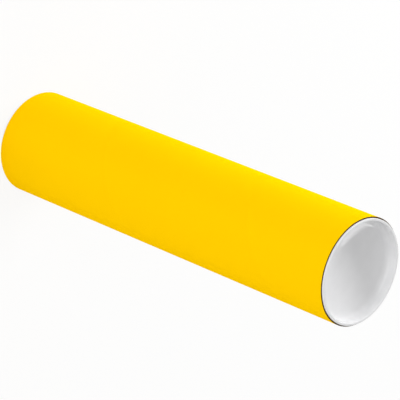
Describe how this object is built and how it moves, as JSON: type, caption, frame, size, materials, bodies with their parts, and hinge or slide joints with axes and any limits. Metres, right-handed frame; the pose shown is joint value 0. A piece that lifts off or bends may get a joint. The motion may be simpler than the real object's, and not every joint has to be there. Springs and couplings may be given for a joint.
{
  "type": "mailing tube",
  "caption": "Round board mailing tube with a smooth yellow outside, closed at each end by a push-in white plastic cap with a dished, recessed face.",
  "frame": {"origin": "centre of the rear cap's flange, on the surface that the tube stands on", "axes": "+Z along the tube's axis, from the rear cap to the front cap; X and Y are free, because the part is round"},
  "size_m": [0.0802, 0.0802, 0.336],
  "materials": {
    "wound_board": "smooth yellow outer paper over brown wound board",
    "cap_plastic": "satin moulded white polyethylene"
  },
  "bodies": {
    "tube": {"tube": "wound_board"},
    "front_cap": {"front_cap": "cap_plastic"},
    "rear_cap": {"rear_cap": "cap_plastic"}
  },
  "joints": [
    {"name": "front_cap_pull", "type": "slide", "parent": "tube", "child": "front_cap", "axis": [0, 0, 1], "range_m": [0, 0.06]},
    {"name": "rear_cap_pull", "type": "slide", "parent": "rear_cap", "child": "tube", "axis": [0, 0, 1], "range_m": [0, 0.06]}
  ]
}
